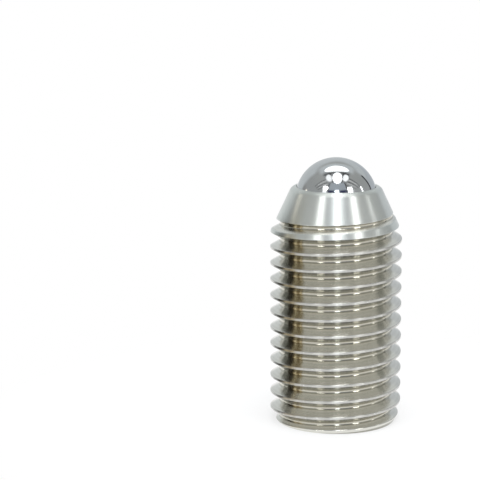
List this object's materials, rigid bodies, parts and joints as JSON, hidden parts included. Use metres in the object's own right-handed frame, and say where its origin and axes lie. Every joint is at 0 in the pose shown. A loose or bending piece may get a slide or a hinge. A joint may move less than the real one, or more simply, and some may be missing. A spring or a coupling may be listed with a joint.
{
  "type": "spring plunger",
  "caption": "Ball-ended spring plunger: a fully threaded stainless sleeve with a conical nose, a sprung ball held by a rolled lip, and a hexagon socket in the rear face.",
  "frame": {"origin": "centre of the rear face, on the axis, where the part stands", "axes": "+Z along the axis towards the ball. A crest of the thread passes over +X at 0.6 mm, and two flats of the hexagon socket face +Y and -Y"},
  "size_m": [0.016, 0.016, 0.0325],
  "materials": {
    "sleeve_steel": "turned stainless steel, bright, with fine lathe marks and a slightly warm thread",
    "spring_wire": "drawn stainless spring wire, satin, with flat ground ends",
    "ball_steel": "hardened steel ball, lapped to a mirror polish"
  },
  "bodies": {
    "sleeve": {"threaded_body": "sleeve_steel"},
    "spring": {"compression_spring": "spring_wire"},
    "ball": {"detent_ball": "ball_steel"}
  },
  "joints": [
    {"name": "ball_press", "type": "slide", "parent": "sleeve", "child": "spring", "axis": [0, 0, -1], "range_m": [0, 0.0035], "stiffness_N_per_m": 11760, "deforming": ["compression_spring"]},
    {"name": "ball_roll", "type": "hinge", "parent": "spring", "child": "ball", "pos_m": [0, 0, 0.0275], "axis": [1, 0, 0], "continuous": true}
  ]
}
